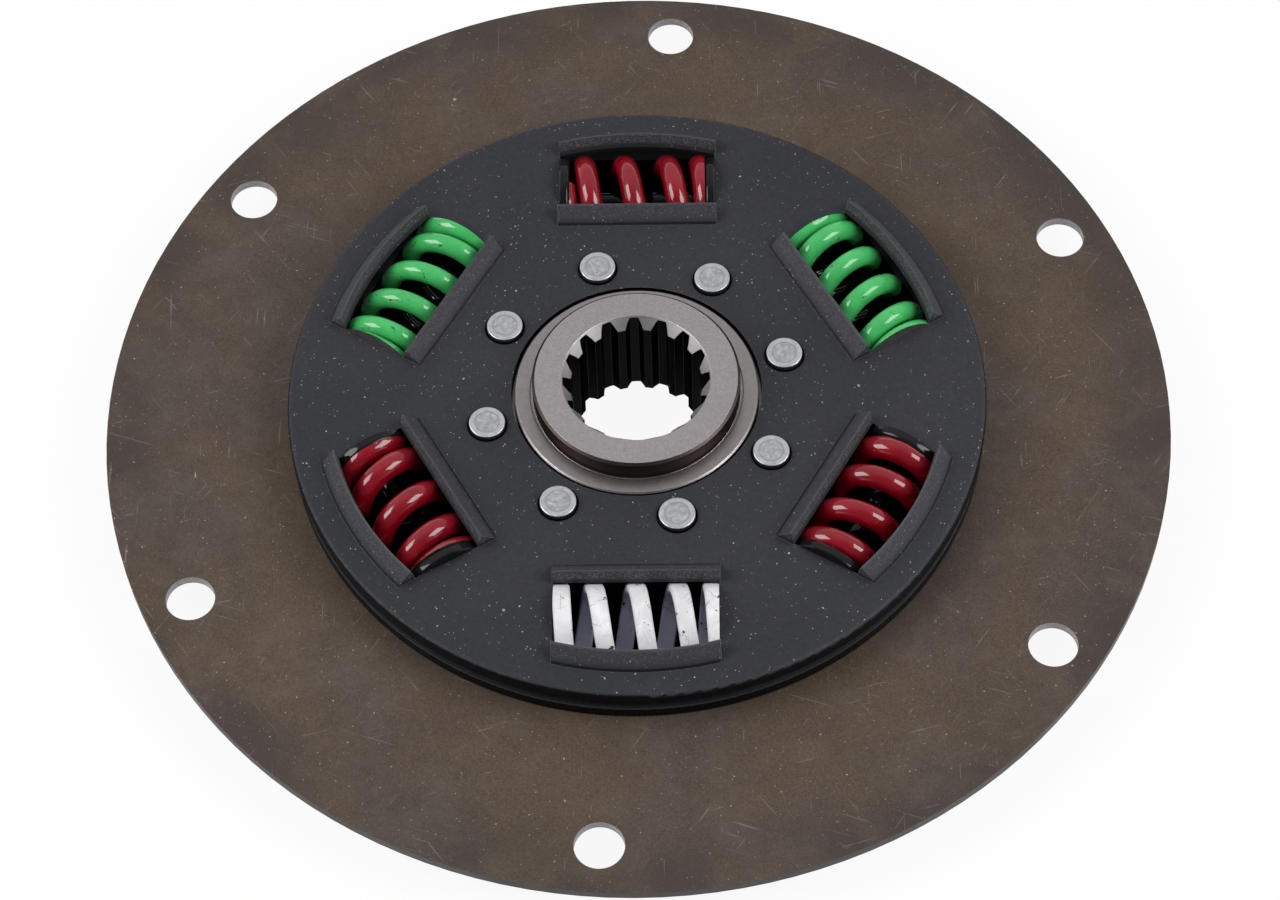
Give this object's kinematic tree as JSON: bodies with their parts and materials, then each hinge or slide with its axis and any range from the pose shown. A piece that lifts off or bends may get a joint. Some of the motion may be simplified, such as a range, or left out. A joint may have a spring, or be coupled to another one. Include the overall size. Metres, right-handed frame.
{
  "type": "torsional damper",
  "caption": "Round torsional damper: a thin bolt-on drive plate, coil springs in the windows of two black pressed covers, and a central hub with an internal spline.",
  "frame": {"origin": "centre of the bolt circle on the face of the drive plate that lies on the flywheel, which is on the shaft axis", "axes": "+Z along the shaft axis from the flywheel towards the transmission; +X to the right in the picture, +Y away from its viewer"},
  "size_m": [0.33, 0.33, 0.036],
  "materials": {
    "browned_plate": "browned rolled steel, scratched and a little blotchy",
    "black_coating": "matte charcoal coating on pressed steel",
    "ground_steel": "turned and ground steel, machining lines round the shaft axis",
    "rivet_steel": "upset steel rivet heads, dull grey",
    "friction_lining": "moulded friction ring, dark",
    "spring_steel": "hardened spring steel, bare",
    "green_paint": "glossy bright green paint on spring wire",
    "red_paint": "glossy dark red paint on spring wire",
    "white_paint": "matte white paint, worn, on flat spring wire",
    "black_seat": "glossy black cap and peg"
  },
  "bodies": {
    "hub_and_covers": {"hub": "ground_steel", "hub_rivets": "rivet_steel", "front_cover": "black_coating", "rear_cover": "black_coating", "front_friction_ring": "friction_lining", "rear_friction_ring": "friction_lining", "disc_spring": "spring_steel"},
    "carrier": {"drive_plate": "browned_plate", "carrier_disc": "black_coating", "carrier_rivets": "rivet_steel"},
    "spring_set": {"green_spring_1": "green_paint", "green_spring_2": "green_paint", "red_spring_1": "red_paint", "red_spring_2": "red_paint", "red_spring_3": "red_paint", "white_spring": "white_paint", "seat_1_near": "black_seat", "seat_1_far": "black_seat", "seat_2_near": "black_seat", "seat_2_far": "black_seat", "seat_3_near": "black_seat", "seat_3_far": "black_seat"}
  },
  "joints": [
    {"name": "torsion", "type": "hinge", "parent": "hub_and_covers", "child": "carrier", "pos_m": [0, 0, 0.0052], "axis": [0, 0, 1], "range_deg": [-6, 6], "stiffness_Nm_per_rad": 20000, "deforming": ["green_spring_1", "green_spring_2", "red_spring_1", "red_spring_2", "red_spring_3", "white_spring", "seat_1_near", "seat_1_far", "seat_2_near", "seat_2_far", "seat_3_near", "seat_3_far"]},
    {"name": "spring_follow", "type": "hinge", "parent": "hub_and_covers", "child": "spring_set", "pos_m": [0, 0, 0.0052], "axis": [0, 0, 1], "range_deg": [-3, 3]}
  ],
  "couplings": [
    {"joint": "spring_follow", "follows": "torsion", "ratio": 0.5}
  ]
}
